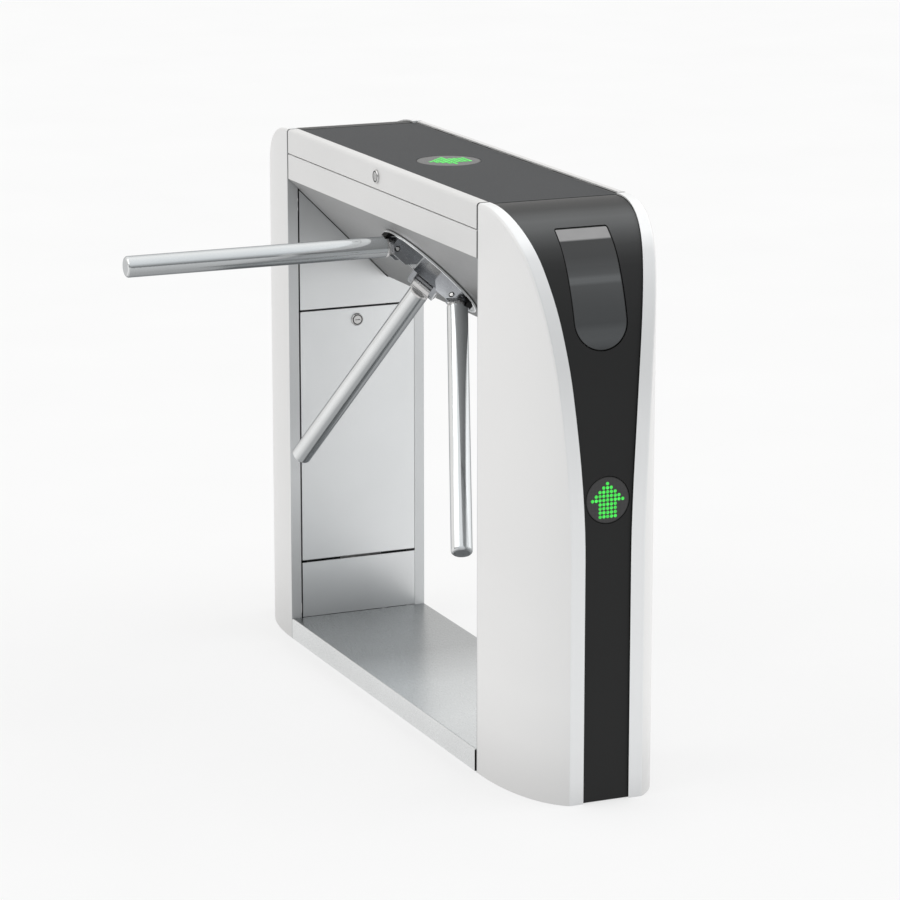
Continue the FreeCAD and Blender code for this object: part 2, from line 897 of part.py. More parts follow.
outer, inner, balls = [], [], []
for zb in (B1, B2):
    mid = zb + bear_w / 2
    span = (zb, zb + bear_w)
    outer.append(cut(cyl(bear_r, span), cyl(22.4, (zb - 1, zb + 20)), torus(mid)))
    inner.append(cut(cyl(16.6, span), cyl(shaft_r, (zb - 1, zb + 20)), torus(mid)))
    for i in range(9):
        b = doc.addObject("Part::Sphere", "ball")
        size(b, Radius=ball_r)
        a = math.radians(40 * i)
        put(b, ball_c * math.cos(a), ball_c * math.sin(a), mid)
        balls.append(b)
on_hub("bearing_outer_rings", group(*outer))
on_hub("bearing_inner_rings", group(*inner))
on_hub("bearing_balls", group(*balls))
on_hub(
    "rotor_shaft",
    turned(
        "rotor_shaft",
        [
            (0, 1.5),
            (28, 1.5),
            (28, -4.5),
            (16, -4.5),
            (16, -12),
            (shaft_r, -12),
            (shaft_r, -130),
            (shaft_r - 1, -131),
            (0, -131),
        ],
    ),
)
# hub disc with a raised bright rim
disc = turned(
    "disc",
    [
        (0, 1.5),
        (hub_r - 1, 1.5),
        (hub_r, 2.2),
        (hub_r, 5.6),
        (hub_r - 0.6, 6.2),
        (hub_r - 2.4, 6.2),
        (hub_r - 3.0, 5),
        (0, 5),
    ],
)
on_hub("hub_disc", disc)
# arm brackets: two cheeks, a floor and an inner wall; the pin runs across the cheeks
CHEEK = [
    (102, 5),
    (100.5, 21),
    (85, 32),
    (58, 31),
    (41, 15.5),
    (41, 5),
]
TURNS = (0, 120, 240)


def spun(obj, deg):
    obj.Placement = Placement(
        Vector(0, 0, 0), Rotation(Vector(0, 0, 1), deg)
    ).multiply(obj.Placement)
    return obj


def plate(label, pts, x0, x1):
    return pad(label, "YZ_Plane", pts, x1 - x0, (x0, 0, 0))


brackets, stops, pins, hub_screws = [], [], [], []
for k, deg in enumerate(TURNS):
    sides = [
        plate("fork", CHEEK, fork, fork + fork_t),
        plate("fork", CHEEK, -fork - fork_t, -fork),
    ]
    floor_ = box((-fork - 1, fork + 1), (41, 99), (5, 7.5))
    wall_in = box((-fork - 1, fork + 1), (41, 45), (5, 15.5))
    cuts = [cyl(pin_r, (-60, 60), 0, pin_v, pin_w, "X")]
    for s_ in (-1, 1):
        x0, x1 = sorted((s_ * n(fork + fork_t - 1.2), s_ * n(fork + fork_t + 1)))
        cuts.append(cyl(pin_r + 1.5, (x0, x1), 0, pin_v, pin_w, "X"))
    brackets.append(spun(cut(fuse(sides[0], sides[1], floor_, wall_in), *cuts), deg))
    for s_ in (-1, 1):
        hub_screws.append(
            spun(
                cut(
                    cyl(4.5, (7.5, 10.5), s_ * 10.5, 55),
                    cyl(2.3, (8.6, 11), s_ * 10.5, 55),
                ),
                deg,
            )
        )
    # wedge whose slanted face lies along the raised arm
    stops.append(
        spun(
            plate(
                "stop",
                [
                    (102.2, 5),
                    (105.2, 5),
                    (106.4, 6.4),
                    (110.5, 6.4),
                    (114.8, 10),
                    (114.8, 17.6),
                ],
                -9.5,
                9.5,
            ),
            deg,
        )
    )
    pin = fuse(
        cyl(pin_r, (-fork - fork_t, fork + fork_t), 0, pin_v, pin_w, "X"),
        cyl(pin_r - 0.7, (-fork - fork_t - 0.9, fork + fork_t + 0.9), 0, pin_v, pin_w, "X"),
    )
    pins.append(spun(pin, deg))
on_hub("arm_brackets", group(*brackets))
on_hub("arm_stop_blocks", group(*stops))
on_hub("arm_pivot_pins", group(*pins))
on_hub("hub_screws", group(*hub_screws))

# ---- arms: frame with Z along the arm, origin on the pin, X along the pin ----------------
ARM = Placement(
    Vector(0, n(pin_v), n(pin_w)), Rotation(Vector(1, 0, 0), -45)
)
for k, deg in enumerate(TURNS):
    name = "_%d" % (k + 1)
    tongue = fuse(
        cyl(11.5, (0.6 - fork, fork - 0.6), 0, 0, 0, "X"),
        box((0.6 - fork, fork - 0.6), (-11.5, 11.5), (0, arm_root + 1)),
        cyl(arm_r, (arm_root, arm_root + 4)),
        cyl(arm_r - arm_wall - 0.05, (arm_root + 4, arm_root + 60)),
    )
    grooves = [
        box((-30, 30), sorted((s_ * 9.5, s_ * 13)), (z_, z_ + 1.4))
        for s_ in (-1, 1)
        for z_ in (3.4, 6.8)
    ]
    knuckle = cut(tongue, cyl(pin_r + 0.05, (-40, 40), 0, 0, 0, "X"), *grooves)
    tube = cut(
        cyl(arm_r, (arm_root + 4.2, arm_reach - 5)),
        cyl(arm_r - arm_wall, (arm_root, arm_reach)),
    )
    cap = turned(
        "cap",
        [
            (0, arm_reach - 25),
            (arm_r - arm_wall - 0.05, arm_reach - 25),
            (arm_r - arm_wall - 0.05, arm_reach - 5),
            (arm_r, arm_reach - 5),
            (arm_r, arm_reach - 4.6),
            (arm_r - 0.7, arm_reach - 2.6),
            (arm_r - 2.4, arm_reach - 0.9),
            (arm_r - 4.6, arm_reach),
            (0, arm_reach),
        ],
    )
    for label, obj in (
        ("arm_knuckle" + name, knuckle),
        ("arm_tube" + name, tube),
        ("arm_cap" + name, cap),
    ):
        obj.Placement = ARM.multiply(obj.Placement)
        on_hub(label, obj, deg)


# ---- drive and lock -----------------------------------------------------------------------
def gear_shape(teeth, phase, width, bore_r, slack):
    mod = n(gear_m)
    rp = mod * teeth / 2.0
    rb = rp * math.cos(math.radians(20))
    tip, root = rp + 0.9 * mod, rp - 1.25 * mod

    def inv(r):
        a = math.acos(min(1.0, rb / r))
        return math.tan(a) - a

    half = math.pi / 2 / teeth - slack / 2 / rp
    flank = [
        (r, half + inv(rp) - inv(max(r, rb)))
        for r in (root, max(rb, root + 0.1), rp, tip)
    ]
    pts = []
    for i in range(teeth):
        c = phase + 2 * math.pi * i / teeth
        for r, a in flank:
            pts.append((r, c - a))
        for r, a in reversed(flank):
            pts.append((r, c + a))
    v = [Vector(r * math.cos(a), r * math.sin(a), 0) for r, a in pts]
    s_ = Part.Face(Part.makePolygon(v + v[:1])).extrude(Vector(0, 0, width))
    return s_.cut(Part.makeCylinder(bore_r, width + 2, Vector(0, 0, -1)))


GZ = -118.0  # back of the gear
centre = n(gear_m) * (n(gear_n) + n(pinion_n)) / 2
g1 = shaped(
    "gear", gear_shape(int(n(gear_n)), 0.0, n(gear_t), n(shaft_r), 0.5)
)
g1.Placement = Placement(Vector(0, 0, GZ), Rotation())
on_hub("drive_gear", g1)
g2 = shaped(
    "pinion",
    gear_shape(int(n(pinion_n)), math.pi / n(pinion_n), n(gear_t), 4.0, 0.5),
)
g2.Placement = Placement(Vector(centre, 0, GZ), Rotation())
on_hub("motor_pinion", fuse(g2, cyl(4, (GZ, -101), centre, 0)))
on_hub(
    "lock_disc",
    pad(
        "lock_disc",
        "XY_Plane",
        None,
        6,
        (0, 0, -126),
        [(0, 0, shaft_r)]
        + [
            (
                bolt_c * math.cos(math.radians(60 * i)),
                bolt_c * math.sin(math.radians(60 * i)),
                bolt_r + 0.8,
            )
            for i in range(6)
        ],
        disc=70,
    ),
)
on_hub(
    "motor_bracket",
    pad(
        "motor_bracket",
        "XY_Plane",
        [(-76, -30), (-40, -46), (96, -46), (96, 46), (-40, 46), (-76, 30)],
        4,
        (0, 0, -102),
        [(0, 0, 36), (centre, 0, 10), (-bolt_c, 0, bolt_r + 0.6)],
    ),
)
on_hub(
    "gear_motor",
    fuse(
        cyl(26, (-98, -40), centre, 0),
        cyl(23, (-40, -22), centre, 0),
    ),
)
on_hub(
    "lock_solenoid",
    cut(
        cyl(18, (-98, -50), -bolt_c, 0),
        cyl(bolt_r + 0.4, (-99, -56), -bolt_c, 0),
    ),
)
on_hub("lock_bolt", cyl(bolt_r, (-117.5, -68), -bolt_c, 0))

# ---- electronics --------------------------------------------------------------------------
cb = [box((491, 492.6), (-60, 60), (300, 480))]
for y0, z0 in ((-54, 306), (48, 306), (-54, 468), (48, 468)):
    cb.append(box((485, 491), (y0, y0 + 6), (z0, z0 + 6)))
cb += [
    box((492.6, 506), (-50, -20), (320, 350)),
    box((492.6, 504), (-10, 45), (312, 326)),
    box((492.6, 499), (-30, 10), (380, 420)),
    box((492.6, 504), (-50, 45), (452, 466)),
]
keep("control_board", fuse(*cb))
keep(
    "power_supply",
    fuse(
        box((-530, -485), (-50, 50), (260, 420)),
        box((-524, -495), (-46, 46), (420, 428)),
    ),
)

# ---- checks and output --------------------------------------------------------------------
doc.recompute()
bad = [
    (o.Name, o.State)
    for o in doc.Objects
    if "Invalid" in o.State or "Error" in o.State
]
for label, o in PARTS.items():
    sh = o.Shape
    if sh.isNull() or not sh.isValid() or not sh.Solids:
        bad.append((label, "shape"))
if bad:
    raise RuntimeError("failed objects: %s" % bad)
os.makedirs("parts", exist_ok=True)
for label, o in PARTS.items():
    o.Shape.exportStep(os.path.join("parts", label + ".step"))
print(len(PARTS), "parts")
for label, o in PARTS.items():
    bb_ = o.Shape.BoundBox
    print(
        "%-26s solids %2d vol %11.0f  x %.1f..%.1f y %.1f..%.1f z %.1f..%.1f"
        % (
            label,
            len(o.Shape.Solids),
            o.Shape.Volume,
            bb_.XMin,
            bb_.XMax,
            bb_.YMin,
            bb_.YMax,
            bb_.ZMin,
            bb_.ZMax,
        )
    )
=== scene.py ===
"""Looks of the tripod turnstile: finishes, indicator lamps, studio and camera."""
import math

import bmesh
import bpy
from mathutils import Matrix, Vector
from mathutils.bvhtree import BVHTree


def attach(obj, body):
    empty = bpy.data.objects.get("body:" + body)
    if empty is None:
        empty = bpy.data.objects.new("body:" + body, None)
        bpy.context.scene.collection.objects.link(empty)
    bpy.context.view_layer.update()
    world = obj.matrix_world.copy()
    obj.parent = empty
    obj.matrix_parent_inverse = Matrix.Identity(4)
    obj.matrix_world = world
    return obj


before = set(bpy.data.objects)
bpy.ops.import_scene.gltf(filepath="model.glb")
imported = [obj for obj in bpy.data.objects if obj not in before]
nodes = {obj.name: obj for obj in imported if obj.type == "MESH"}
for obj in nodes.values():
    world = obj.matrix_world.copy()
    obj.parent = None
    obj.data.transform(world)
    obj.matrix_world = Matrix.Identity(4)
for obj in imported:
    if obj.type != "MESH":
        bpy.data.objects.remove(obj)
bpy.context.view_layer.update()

scene = bpy.context.scene
MM = 0.001


# ---------------------------------------------------------------- finishes
def blank(name):
    m = bpy.data.materials.new(name)
    m.use_nodes = True
    nt = m.node_tree
    nt.nodes.clear()
    out = nt.nodes.new("ShaderNodeOutputMaterial")
    b = nt.nodes.new("ShaderNodeBsdfPrincipled")
    nt.links.new(b.outputs["BSDF"], out.inputs["Surface"])
    return m, nt, b


def coords(nt, scale=(1, 1, 1)):
    tc = nt.nodes.new("ShaderNodeTexCoord")
    mp = nt.nodes.new("ShaderNodeMapping")
    mp.inputs["Scale"].default_value = scale
    nt.links.new(tc.outputs["Object"], mp.inputs["Vector"])
    return mp.outputs["Vector"]


def noise(nt, vec, scale, detail=3.0, rough=0.55):
    n = nt.nodes.new("ShaderNodeTexNoise")
    n.inputs["Scale"].default_value = scale
    n.inputs["Detail"].default_value = detail
    n.inputs["Roughness"].default_value = rough
    nt.links.new(vec, n.inputs["Vector"])
    return n.outputs["Fac"]


def spread(nt, fac, lo, hi, a=0.3, b=0.7):
    r = nt.nodes.new("ShaderNodeMapRange")
    r.inputs["From Min"].default_value = a
    r.inputs["From Max"].default_value = b
    r.inputs["To Min"].default_value = lo
    r.inputs["To Max"].default_value = hi
    nt.links.new(fac, r.inputs["Value"])
    return r.outputs["Result"]


def ramp(nt, fac, stops, kind="LINEAR"):
    r = nt.nodes.new("ShaderNodeValToRGB")
    r.color_ramp.interpolation = kind
    e = r.color_ramp.elements
    while len(e) < len(stops):
        e.new(0.5)
    for s, (pos, col) in zip(e, stops):
        s.position = pos
        s.color = (*col, 1.0)
    nt.links.new(fac, r.inputs["Fac"])
    return r.outputs["Color"]


def bump(nt, b, height, strength, distance):
    n = nt.nodes.new("ShaderNodeBump")
    n.inputs["Strength"].default_value = strength
    n.inputs["Distance"].default_value = distance
    nt.links.new(height, n.inputs["Height"])
    nt.links.new(n.outputs["Normal"], b.inputs["Normal"])


def finish_of(name, dark, light, metal, rough, grain, relief, patch=9.0, spec=0.5,
              coat=0.0, coat_rough=0.1):
    """A surface with a fine directional grain and slow changes of tone."""
    m, nt, b = blank(name)
    slow = noise(nt, coords(nt), patch, 2.0)
    fine = noise(nt, coords(nt, grain), 1.0, 4.0, 0.6)
    nt.links.new(ramp(nt, slow, [(0.32, dark), (0.68, light)]), b.inputs["Base Color"])
    nt.links.new(spread(nt, fine, rough[0], rough[1]), b.inputs["Roughness"])
    bump(nt, b, fine, relief[0], relief[1])
    b.inputs["Metallic"].default_value = metal
    b.inputs["Specular IOR Level"].default_value = spec
    b.inputs["Coat Weight"].default_value = coat
    b.inputs["Coat Roughness"].default_value = coat_rough
    return m


def grey(v, tint=(1.0, 1.0, 1.0)):
    return tuple(v * t for t in tint)


WARM = (1.0, 0.995, 0.988)
COOL = (0.975, 0.992, 1.0)

M = {}
M["forged"] = finish_of("forged_steel", grey(0.56, WARM), grey(0.64, WARM), 1.0,
                        (0.20, 0.30), (500, 500, 500), (0.05, 0.0002), 30.0)
M["bracket"] = finish_of("bracket_steel", grey(0.31, (0.95, 0.98, 1.03)), grey(0.36, (0.95, 0.98, 1.03)), 1.0,
                         (0.18, 0.28), (500, 500, 500), (0.05, 0.0002), 30.0)
M["black"] = finish_of("black_block", grey(0.004), grey(0.007), 0.0,
                       (0.50, 0.65), (900, 900, 900), (0.15, 0.0002), 30.0, 0.15)
M["pin"] = finish_of("pin_steel", grey(0.80, WARM), grey(0.88, WARM), 1.0,
                     (0.10, 0.18), (900, 900, 900), (0.03, 0.0001), 80.0)
M["frame"] = finish_of("grey_frame", grey(0.018, COOL), grey(0.030, COOL), 0.3,
                       (0.45, 0.62), (120, 120, 120), (0.10, 0.0003), 60.0)
M["machine"] = finish_of("machine_steel", grey(0.48, COOL), grey(0.56, COOL), 1.0,
                         (0.22, 0.36), (900, 900, 900), (0.05, 0.0002), 40.0)
M["motor"] = finish_of("motor_black", grey(0.020), grey(0.030), 0.1,
                       (0.40, 0.55), (700, 700, 700), (0.15, 0.0003), 40.0, 0.4)
M["supply"] = finish_of("supply_case", grey(0.45, COOL), grey(0.55, COOL), 0.8,
                        (0.34, 0.50), (700, 700, 90), (0.08, 0.0002), 30.0)
M["board"] = finish_of("circuit_board", (0.006, 0.060, 0.022), (0.010, 0.095, 0.035), 0.0,
                       (0.30, 0.45), (1500, 1500, 1500), (0.12, 0.0002), 160.0)


def axis_of(nt, which, absolute=False, normal=False):
    """One coordinate of the place on the object, or of the way its surface faces."""
    if normal:
        tc = nt.nodes.new("ShaderNodeNewGeometry")
        src = tc.outputs["Normal"]
    else:
        tc = nt.nodes.new("ShaderNodeTexCoord")
        src = tc.outputs["Object"]
    sep = nt.nodes.new("ShaderNodeSeparateXYZ")
    nt.links.new(src, sep.inputs["Vector"])
    v = sep.outputs[which]
    return math_node(nt, "ABSOLUTE", v) if absolute else v


def math_node(nt, op, a, b=None):
    m = nt.nodes.new("ShaderNodeMath")
    m.operation = op
    for k, v in enumerate((a, b)):
        if v is None:
            continue
        if isinstance(v, (int, float)):
            m.inputs[k].default_value = v
        else:
            nt.links.new(v, m.inputs[k])
    return m.outputs["Value"]


def blend(nt, fac, a, b, kind="MIX"):
    """Mix of two colours; fac, a and b are sockets, fac may be a plain 1."""
    mix = nt.nodes.new("ShaderNodeMix")
    mix.data_type = "RGBA"
    mix.blend_type = kind
    if isinstance(fac, (int, float)):
        mix.inputs["Factor"].default_value = fac
    else:
        nt.links.new(fac, mix.inputs["Factor"])
    nt.links.new(a, mix.inputs["A"])
    nt.links.new(b, mix.inputs["B"])
    return mix.outputs["Result"]


def along(nt, coord, lo, hi, stops, tint=(1.0, 1.0, 1.0)):
    """Tone as a function of one coordinate; stops are (coordinate, value)."""
    return ramp(nt, spread(nt, coord, 0.0, 1.0, lo, hi),
                [((x - lo) / (hi - lo), grey(v, tint)) for x, v in stops])


def distance_from(nt, a, b):
    """Length of the vector with the two given components."""
    return math_node(nt, "SQRT", math_node(nt, "ADD", math_node(nt, "MULTIPLY", a, a),
                                           math_node(nt, "MULTIPLY", b, b)))


def metal(name, colour, metallic, rough, grain, relief, spec=0.5):
    """Like finish_of, its colour built by a function of the node tree."""
    m, nt, b = blank(name)
    fine = noise(nt, coords(nt, grain), 1.0, 4.0, 0.6)
    nt.links.new(colour(nt), b.inputs["Base Color"])
    nt.links.new(spread(nt, fine, rough[0], rough[1]), b.inputs["Roughness"])
    bump(nt, b, fine, relief[0], relief[1])
    if isinstance(metallic, (int, float)):
        b.inputs["Metallic"].default_value = metallic
    else:
        nt.links.new(metallic(nt), b.inputs["Metallic"])
    b.inputs["Specular IOR Level"].default_value = spec
    return m


def mottle(nt, scale, lo, hi, tint):
    return ramp(nt, noise(nt, coords(nt), scale, 2.0), [(0.32, grey(lo, tint)), (0.68, grey(hi, tint))])


def sheet_colour(nt):
    """Silver sheet with painted shade in the seams at its two ends; painted shade on the slanted face over the arms,
    darker towards its foot.
    """
    skin = mottle(nt, 5.0, 0.69, 0.715, WARM)
    # painted shade on the slanted face over the arms, darker towards its foot
    diag = math_node(nt, "ADD", axis_of(nt, "Y"), axis_of(nt, "Z"))
    away = math_node(nt, "ABSOLUTE", math_node(nt, "SUBTRACT", diag, 0.768))
    low = math_node(nt, "MULTIPLY", spread(nt, away, 1.0, 0.0, 0.0006, 0.0012),
                    spread(nt, axis_of(nt, "Z"), 1.0, 0.0, 0.9072, 0.9082))
    slanted_face_shade = along(nt, axis_of(nt, "Z"), 0.70, 0.91, [(0.70, 0.13), (0.76, 0.20), (0.82, 0.27), (0.86, 0.315), (0.91, 0.325)])
    # painted shade in the seams at the two ends
    ends = spread(nt, axis_of(nt, "X", True), 0.0, 1.0, 0.4406, 0.4410)
    return blend(nt, ends, blend(nt, low, skin, slanted_face_shade), mottle(nt, 30.0, 0.012, 0.016, COOL))


M["sheet"] = metal("sheet_silver", sheet_colour, 0.12, (0.34, 0.44), (60, 900, 900), (0.06, 0.0002), 0.4)


def base_colour(nt):
    """Base plate with a painted reflection along its top, darker towards the far end, and painted shade in the seam at
    its near end.
    """
    # painted reflection on the top: darker towards the far end
    tone = along(nt, axis_of(nt, "X"), -0.45, 0.45,
                 [(-0.45, 0.37), (-0.15, 0.42), (0.06, 0.66), (0.25, 0.72), (0.45, 0.69)], COOL)
    facing = spread(nt, axis_of(nt, "Y", normal=True), 1.0, 0.0, -0.8, -0.3)
    tone = blend(nt, facing, tone, mottle(nt, 5.0, 0.74, 0.76, WARM))
    # painted shade in the seam at the near end
    seam = spread(nt, axis_of(nt, "X"), 0.0, 1.0, 0.4362, 0.4368)
    dark = mottle(nt, 40.0, 0.010, 0.016, COOL)
    return blend(nt, seam, blend(nt, 1.0, tone, mottle(nt, 5.0, 0.97, 1.0, COOL), "MULTIPLY"), dark)


M["base"] = metal("base_steel", base_colour, 0.95, (0.24, 0.33), (70, 900, 900), (0.07, 0.0002))


def panel_colour(nt):
    """Brushed panels with painted shade towards the foot and towards the top, milder on the back ones."""
    tone = mottle(nt, 6.0, 0.76, 0.79, COOL)
    # painted shade towards the foot and towards the slanted face at the top
    foot = along(nt, axis_of(nt, "Z"), 0.0, 1.0, [(0.0, 0.62), (0.045, 0.68), (0.14, 0.98), (0.62, 1.0), (0.70, 1.0),
                                                  (0.78, 0.84), (0.83, 0.76), (0.88, 0.68), (1.0, 0.66)])
    even = along(nt, axis_of(nt, "Z"), 0.0, 1.0, [(0.0, 0.86), (0.14, 1.02), (0.70, 1.02), (0.88, 0.75), (1.0, 0.72)])
    foot = blend(nt, spread(nt, axis_of(nt, "Y"), 0.0, 1.0, 0.02, 0.12), foot, even)
    return blend(nt, 1.0, tone, foot, "MULTIPLY")


def door_colour(nt):
    """The door's tongues, below its edge, carry painted shade."""
    # painted shade on the tongues in the gap below the door
    low = spread(nt, axis_of(nt, "Z"), 1.0, 0.0, 0.1537, 0.1541)
    return blend(nt, low, blend(nt, spread(nt, axis_of(nt, "Y"), 0.0, 1.0, -0.08, 0.12),
                                mottle(nt, 6.0, 0.755, 0.785, COOL), mottle(nt, 6.0, 0.82, 0.85, COOL)),
                 mottle(nt, 60.0, 0.010, 0.015, COOL))


M["panel"] = metal("brushed_panel", panel_colour, 0.9, (0.28, 0.42), (900, 500, 500), (0.10, 0.0002))
M["door"] = metal("brushed_door", door_colour, 0.9, (0.28, 0.42), (900, 500, 500), (0.10, 0.0002))


def band_colour(nt):
    """Dark band with a painted highlight where it rolls over the top of the pedestal."""
    # painted highlight over the curve at the top of the pedestal
    painted_band_highlight = along(nt, axis_of(nt, "Z"), 0.88, 1.0,
                  [(0.88, 0.008), (0.905, 0.009), (0.92, 0.012), (0.94, 0.028), (0.95, 0.047), (0.96, 0.070),
                   (0.97, 0.098), (0.98, 0.112), (0.987, 0.085), (0.993, 0.040), (1.0, 0.016)], COOL)
    return blend(nt, 1.0, painted_band_highlight, mottle(nt, 4.0, 0.92, 1.05, COOL), "MULTIPLY")


M["band"] = metal("dark_band", band_colour, 0.0, (0.40, 0.52), (1400, 1400, 1400), (0.12, 0.0002), 0.28)
M["top"] = finish_of("dark_top", (0.0060, 0.0080, 0.0112), (0.0080, 0.0102, 0.0138), 0.0,
                     (0.42, 0.54), (1400, 1400, 1400), (0.12, 0.0002), 4.0, 0.185)
M["top"].node_tree.nodes["Principled BSDF"].inputs["Specular Tint"].default_value = (0.88, 0.97, 1.0, 1.0)

M["hinge"] = finish_of("hinge_dark", grey(0.085, COOL), grey(0.105, COOL), 0.8,
                       (0.36, 0.46), (900, 900, 900), (0.06, 0.0002), 60.0, 0.3)


def arm_colour(nt):
    """Polished tube with painted shade underneath, painted light on top and painted light where it faces the sides."""
    # painted light and shade by which way the surface faces
    up = along(nt, axis_of(nt, "Z", normal=True), -1.0, 1.0,
               [(-1.0, 0.46), (-0.5, 0.50), (-0.1, 0.64), (0.25, 0.80), (0.55, 0.96), (0.87, 1.12), (1.0, 0.96)], COOL)
    lit = mottle(nt, 20.0, 1.08, 1.12, WARM)
    tone = blend(nt, spread(nt, axis_of(nt, "Y", True, True), 0.0, 1.0, 0.58, 0.92), up, lit)
    return blend(nt, 1.0, mottle(nt, 12.0, 0.745, 0.77, COOL), tone, "MULTIPLY")


M["arm"] = metal("arm_steel", arm_colour, 0.86, (0.07, 0.12), (500, 500, 500), (0.02, 0.0001))
M["arm"].node_tree.nodes["Principled BSDF"].inputs["Specular Tint"].default_value = (0.32, 0.33, 0.345, 1.0)


def hub_colour(nt):
    """Satin disc with a bright rim."""
    y = math_node(nt, "ADD", axis_of(nt, "Y"), 0.034)
    z = math_node(nt, "SUBTRACT", axis_of(nt, "Z"), 0.802)
    u = math_node(nt, "MULTIPLY", math_node(nt, "SUBTRACT", y, z), 0.70711)
    r = distance_from(nt, axis_of(nt, "X"), u)
    rim = spread(nt, r, 0.0, 1.0, 0.1066, 0.1070)
    return blend(nt, rim, mottle(nt, 20.0, 0.26, 0.32, COOL), mottle(nt, 20.0, 0.86, 0.90, COOL))


M["hub"] = metal("hub_steel", hub_colour, 1.0, (0.16, 0.24), (600, 600, 600), (0.04, 0.0002))


def lock_finish(name, across, centre, height):
    """Chromed lock with painted shade in the groove around its plug."""

    def colour(nt):
        a = math_node(nt, "SUBTRACT", axis_of(nt, across), centre)
        r = distance_from(nt, a, math_node(nt, "SUBTRACT", axis_of(nt, "Z"), height))
        # painted shade in the groove around the plug
        groove = math_node(nt, "MULTIPLY", spread(nt, r, 0.0, 1.0, 0.0080, 0.0083),
                           spread(nt, r, 1.0, 0.0, 0.0100, 0.0104))
        return blend(nt, groove, mottle(nt, 80.0, 0.48, 0.58, WARM), mottle(nt, 80.0, 0.010, 0.016, COOL))

    return metal(name, colour, 1.0, (0.14, 0.24), (900, 900, 900), (0.03, 0.0001))


M["lock_lid"] = lock_finish("lid_lock_chrome", "X", 0.0, 0.9795)
M["lock_door"] = lock_finish("door_lock_chrome", "Y", 0.0, 0.624)


def cheek_finish():
    """Satin silver skin and edge strip, with painted shade near the floor and on the far pedestal and painted light
    and shade up the strip; the narrow return at the passage is bare steel with painted shade towards its foot and top.
    """
    m, nt, b = blank("cheek_silver")
    fine = noise(nt, coords(nt, (700, 700, 60)), 1.0, 4.0, 0.6)
    z = axis_of(nt, "Z")
    # painted shade near the floor
    skin = blend(nt, 1.0, mottle(nt, 3.0, 0.77, 0.79, WARM),
                 along(nt, z, 0.0, 1.0, [(0.0, 0.80), (0.04, 0.85), (0.10, 0.945), (0.18, 1.0), (1.0, 1.0)]), "MULTIPLY")
    # painted shade on the far pedestal
    far = along(nt, axis_of(nt, "X"), -0.7, 0.7, [(-0.7, 0.90), (-0.4, 0.92), (0.4, 1.0), (0.7, 1.0)])
    skin = blend(nt, 1.0, skin, far, "MULTIPLY")
    # painted light and shade up the edge strip, brightest near the top
    strip = blend(nt, 1.0, mottle(nt, 3.0, 0.775, 0.785, (0.988, 0.996, 1.0)),
                  along(nt, z, 0.0, 1.002, [(0.0, 0.86), (0.04, 0.98), (0.10, 1.03), (0.20, 1.05), (0.50, 1.02),
                                            (0.58, 0.97), (0.64, 0.94), (0.70, 0.89), (0.76, 0.85), (0.87, 0.86),
                                            (0.93, 0.92), (0.957, 1.18), (0.995, 1.22), (1.002, 1.08)]), "MULTIPLY")
    flat = spread(nt, axis_of(nt, "Y", True, True), 1.0, 0.0, 0.30, 0.45)
    skin = blend(nt, flat, skin, strip)
    # painted shade on the front of the return, darker at its foot and top
    front = along(nt, z, 0.0, 1.0, [(0.0, 0.36), (0.10, 0.42), (0.17, 0.49), (0.32, 0.66), (0.47, 0.57),
                                    (0.64, 0.64), (0.77, 0.62), (0.86, 0.43), (1.0, 0.36)], COOL)
    back = mottle(nt, 6.0, 0.70, 0.74, COOL)
    bare = blend(nt, spread(nt, axis_of(nt, "Y"), 0.0, 1.0, -0.001, 0.001), front, back)
    outer = spread(nt, axis_of(nt, "X", True), 0.0, 1.0, 0.4471, 0.4476)
    nt.links.new(blend(nt, outer, bare, skin), b.inputs["Base Color"])
    nt.links.new(spread(nt, fine, 0.30, 0.38), b.inputs["Roughness"])
    bump(nt, b, fine, 0.05, 0.0002)
    b.inputs["Metallic"].default_value = 0.1
    return m


M["cheek"] = cheek_finish()


def window_finish():
    """Smoked cover: a painted reflection along its top edge, a dark field with one painted highlight line below, and
    painted shade in the gap at its edges.
    """
    m, nt, b = blank("dark_window")
    up = spread(nt, axis_of(nt, "Z"), 0.0, 1.0, 0.777, 0.968)
    tint = (0.95, 1.0, 1.03)
    # painted reflections across the height of the cover
    col = ramp(nt, up, [(x, grey(v, tint)) for x, v in (
        (0.0, 0.050), (0.04, 0.070), (0.09, 0.080), (0.17, 0.074), (0.23, 0.052), (0.33, 0.050), (0.50, 0.047),
        (0.55, 0.050), (0.575, 0.088), (0.605, 0.090), (0.635, 0.054), (0.67, 0.044), (0.78, 0.027), (0.905, 0.026),
        (0.906, 0.042))])
    painted_top_reflection = mottle(nt, 30.0, 0.295, 0.310, (1.0, 0.99, 0.995))
    col = blend(nt, spread(nt, up, 0.0, 1.0, 0.905, 0.918), col, painted_top_reflection)
    # painted shade in the gap along the edges of the cover
    z = axis_of(nt, "Z")
    low = math_node(nt, "MINIMUM", math_node(nt, "SUBTRACT", z, 0.825), 0.0)
    reach = math_node(nt, "SUBTRACT", 0.048, distance_from(nt, axis_of(nt, "Y"), low))
    reach = math_node(nt, "MINIMUM", reach, math_node(nt, "SUBTRACT", 0.968, z))
    col = blend(nt, spread(nt, reach, 1.0, 0.0, 0.0007, 0.0012), col, mottle(nt, 30.0, 0.004, 0.006, COOL))
    nt.links.new(col, b.inputs["Base Color"])
    fine = noise(nt, coords(nt), 900.0, 2.0)
    nt.links.new(spread(nt, fine, 0.10, 0.16), b.inputs["Roughness"])
    bump(nt, b, fine, 0.02, 0.0001)
    b.inputs["Specular IOR Level"].default_value = 0.35
    return m


